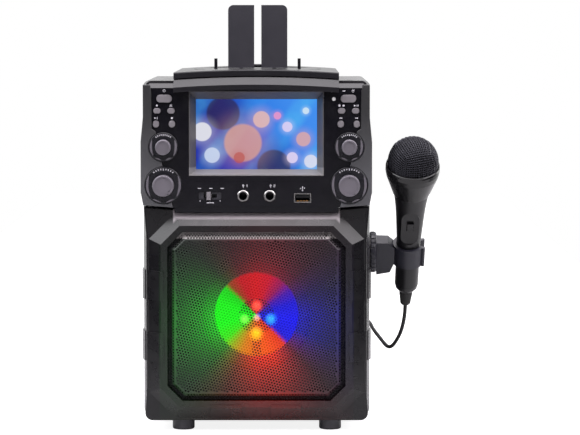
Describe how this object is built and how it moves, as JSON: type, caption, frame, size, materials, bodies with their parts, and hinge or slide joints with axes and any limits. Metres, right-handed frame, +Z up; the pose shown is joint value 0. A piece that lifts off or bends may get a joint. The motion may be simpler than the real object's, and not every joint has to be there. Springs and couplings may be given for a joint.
{
  "type": "karaoke machine",
  "caption": "Table-top karaoke machine with a hinged disc lid, tablet rest, colour screen, lit speaker, control knobs and a clipped wired microphone.",
  "frame": {"origin": "centre of the bounding box's underside, without the free cord, its coil and its plug: the plane the feet stand on", "axes": "+X to the machine's right as seen from the front, +Y from the front to the back, +Z up"},
  "size_m": [0.2424, 0.2751, 0.3464],
  "materials": {
    "case_plastic": "fine-textured black",
    "frame_plastic": "satin black",
    "panel_plastic": "glossy black",
    "cheek_plastic": "satin dark grey",
    "lid_plastic": "glossy black",
    "button_plastic": "satin silver grey",
    "knob_plastic": "satin silver grey",
    "ring_plastic": "satin black",
    "grille_steel": "black perforated sheet",
    "screen_glass": "clear front glass",
    "display": "lit display",
    "cone_paper": "pressed speaker cone",
    "rubber": "soft black",
    "inner_steel": "plain zinc-plated",
    "magnet": "dark ferrite",
    "board": "green circuit board",
    "inner_plastic": "moulded black",
    "lamp_lens": "clear lamp lens",
    "nickel": "nickel plated",
    "battery_wrap": "blue shrink wrap",
    "mic_plastic": "satin black",
    "mic_mesh": "dark woven mesh",
    "rest_plastic": "satin dark grey",
    "cord_jacket": "black cord jacket"
  },
  "bodies": {
    "cabinet": {"battery_pack": "battery_wrap", "cabinet_shell": "case_plastic", "circuit_boards": "board", "control_panel": "panel_plastic", "disc_deck": "inner_plastic", "drive_motors": "inner_steel", "feet": "rubber", "front_frame": "frame_plastic", "holder_base": "mic_plastic", "knob_rings": "ring_plastic", "lamp_bracket": "inner_plastic", "lamps": "lamp_lens", "mechanism_plate": "inner_steel", "mic_cord": "cord_jacket", "mic_cord_coil": "cord_jacket", "mic_holder": "mic_plastic", "mic_jacks": "nickel", "mic_plug": "nickel", "potentiometers": "inner_steel", "rear_cover": "case_plastic", "rear_sockets": "inner_plastic", "screen_bezel": "frame_plastic", "screen_glass": "screen_glass", "screen_module": "display", "screws": "inner_steel", "side_cheeks": "cheek_plastic", "speaker_basket": "inner_steel", "speaker_grille": "grille_steel", "speaker_magnet": "magnet", "speaker_suspension": "rubber", "switches": "inner_plastic", "usb_port": "inner_steel", "visor": "lid_plastic"},
    "disc_lid": {"disc_lid": "lid_plastic"},
    "tablet_rest": {"tablet_rest": "rest_plastic"},
    "speaker_cone": {"speaker_cone": "cone_paper"},
    "turntable": {"turntable": "inner_plastic"},
    "pickup_sled": {"pickup_sled": "inner_plastic"},
    "drive_gear": {"drive_gear": "inner_plastic"},
    "function_slider": {"function_slider": "button_plastic"},
    "mic_switch": {"mic_switch": "mic_plastic"},
    "power_button": {"power_button": "button_plastic"},
    "light_button": {"light_button": "button_plastic"},
    "record_button": {"record_button": "button_plastic"},
    "program_button": {"program_button": "button_plastic"},
    "page_down_button": {"page_down_button": "button_plastic"},
    "page_up_button": {"page_up_button": "button_plastic"},
    "stop_button": {"stop_button": "button_plastic"},
    "play_button": {"play_button": "button_plastic"},
    "previous_button": {"previous_button": "button_plastic"},
    "next_button": {"next_button": "button_plastic"},
    "echo_knob": {"echo_knob": "knob_plastic"},
    "mic_volume_knob": {"mic_volume_knob": "knob_plastic"},
    "balance_knob": {"balance_knob": "knob_plastic"},
    "master_volume_knob": {"master_volume_knob": "knob_plastic"},
    "microphone": {"mic_body": "mic_plastic", "mic_head": "mic_mesh", "mic_collar": "mic_plastic", "mic_capsule": "inner_plastic", "mic_strain_relief": "cord_jacket"}
  },
  "joints": [
    {"name": "lid_hinge", "type": "hinge", "parent": "cabinet", "child": "disc_lid", "pos_m": [-0.02777, 0.086, 0.2855], "axis": [-1, 0, 0], "range_deg": [0, 75]},
    {"name": "rest_fold", "type": "hinge", "parent": "disc_lid", "child": "tablet_rest", "pos_m": [-0.02777, 0.01915, 0.2956], "axis": [-1, 0, 0], "range_deg": [0, 90]},
    {"name": "cone_stroke", "type": "slide", "parent": "cabinet", "child": "speaker_cone", "axis": [0, 1, 0], "range_m": [-0.0015, 0.0015], "stiffness_N_per_m": 1500, "deforming": ["speaker_suspension"]},
    {"name": "disc_spin", "type": "hinge", "parent": "cabinet", "child": "turntable", "pos_m": [-0.02777, 0.002, 0.2784], "axis": [0, 0, 1], "continuous": true},
    {"name": "sled_travel", "type": "slide", "parent": "cabinet", "child": "pickup_sled", "axis": [1, 0, 0], "range_m": [0, 0.032]},
    {"name": "gear_turn", "type": "hinge", "parent": "cabinet", "child": "drive_gear", "pos_m": [0.00223, 0.03, 0.261], "axis": [0, 0, 1], "range_deg": [0, 230]},
    {"name": "power_press", "type": "slide", "parent": "cabinet", "child": "power_button", "axis": [0, 1, 0], "range_m": [0, 0.0008], "stiffness_N_per_m": 400},
    {"name": "light_press", "type": "slide", "parent": "cabinet", "child": "light_button", "axis": [0, 1, 0], "range_m": [0, 0.0008], "stiffness_N_per_m": 400},
    {"name": "record_press", "type": "slide", "parent": "cabinet", "child": "record_button", "axis": [0, 1, 0], "range_m": [0, 0.0008], "stiffness_N_per_m": 400},
    {"name": "program_press", "type": "slide", "parent": "cabinet", "child": "program_button", "axis": [0, 1, 0], "range_m": [0, 0.0008], "stiffness_N_per_m": 400},
    {"name": "page_down_press", "type": "slide", "parent": "cabinet", "child": "page_down_button", "axis": [0, 1, 0], "range_m": [0, 0.0008], "stiffness_N_per_m": 400},
    {"name": "page_up_press", "type": "slide", "parent": "cabinet", "child": "page_up_button", "axis": [0, 1, 0], "range_m": [0, 0.0008], "stiffness_N_per_m": 400},
    {"name": "stop_press", "type": "slide", "parent": "cabinet", "child": "stop_button", "axis": [0, 1, 0], "range_m": [0, 0.0008], "stiffness_N_per_m": 400},
    {"name": "play_press", "type": "slide", "parent": "cabinet", "child": "play_button", "axis": [0, 1, 0], "range_m": [0, 0.0008], "stiffness_N_per_m": 400},
    {"name": "previous_press", "type": "slide", "parent": "cabinet", "child": "previous_button", "axis": [0, 1, 0], "range_m": [0, 0.0008], "stiffness_N_per_m": 400},
    {"name": "next_press", "type": "slide", "parent": "cabinet", "child": "next_button", "axis": [0, 1, 0], "range_m": [0, 0.0008], "stiffness_N_per_m": 400},
    {"name": "echo_turn", "type": "hinge", "parent": "cabinet", "child": "echo_knob", "pos_m": [-0.10277, -0.098, 0.2319], "axis": [0, 1, 0], "range_deg": [-150, 150]},
    {"name": "mic_volume_turn", "type": "hinge", "parent": "cabinet", "child": "mic_volume_knob", "pos_m": [-0.10277, -0.098, 0.2009], "axis": [0, 1, 0], "range_deg": [-150, 150]},
    {"name": "balance_turn", "type": "hinge", "parent": "cabinet", "child": "balance_knob", "pos_m": [0.04723, -0.098, 0.2319], "axis": [0, 1, 0], "range_deg": [-150, 150]},
    {"name": "master_volume_turn", "type": "hinge", "parent": "cabinet", "child": "master_volume_knob", "pos_m": [0.04723, -0.098, 0.2009], "axis": [0, 1, 0], "range_deg": [-150, 150]},
    {"name": "function_slide", "type": "slide", "parent": "cabinet", "child": "function_slider", "axis": [1, 0, 0], "range_m": [-0.0025, 0.005]},
    {"name": "mic_draw", "type": "slide", "parent": "cabinet", "child": "microphone", "axis": [0.0212, -0.5, 0.8658], "range_m": [0, 0.07]},
    {"name": "mic_switch_slide", "type": "slide", "parent": "microphone", "child": "mic_switch", "axis": [0.0203, -0.5557, 0.8311], "range_m": [0, 0.003]}
  ],
  "couplings": [
    {"joint": "gear_turn", "follows": "sled_travel", "rad_per_m": 125}
  ]
}
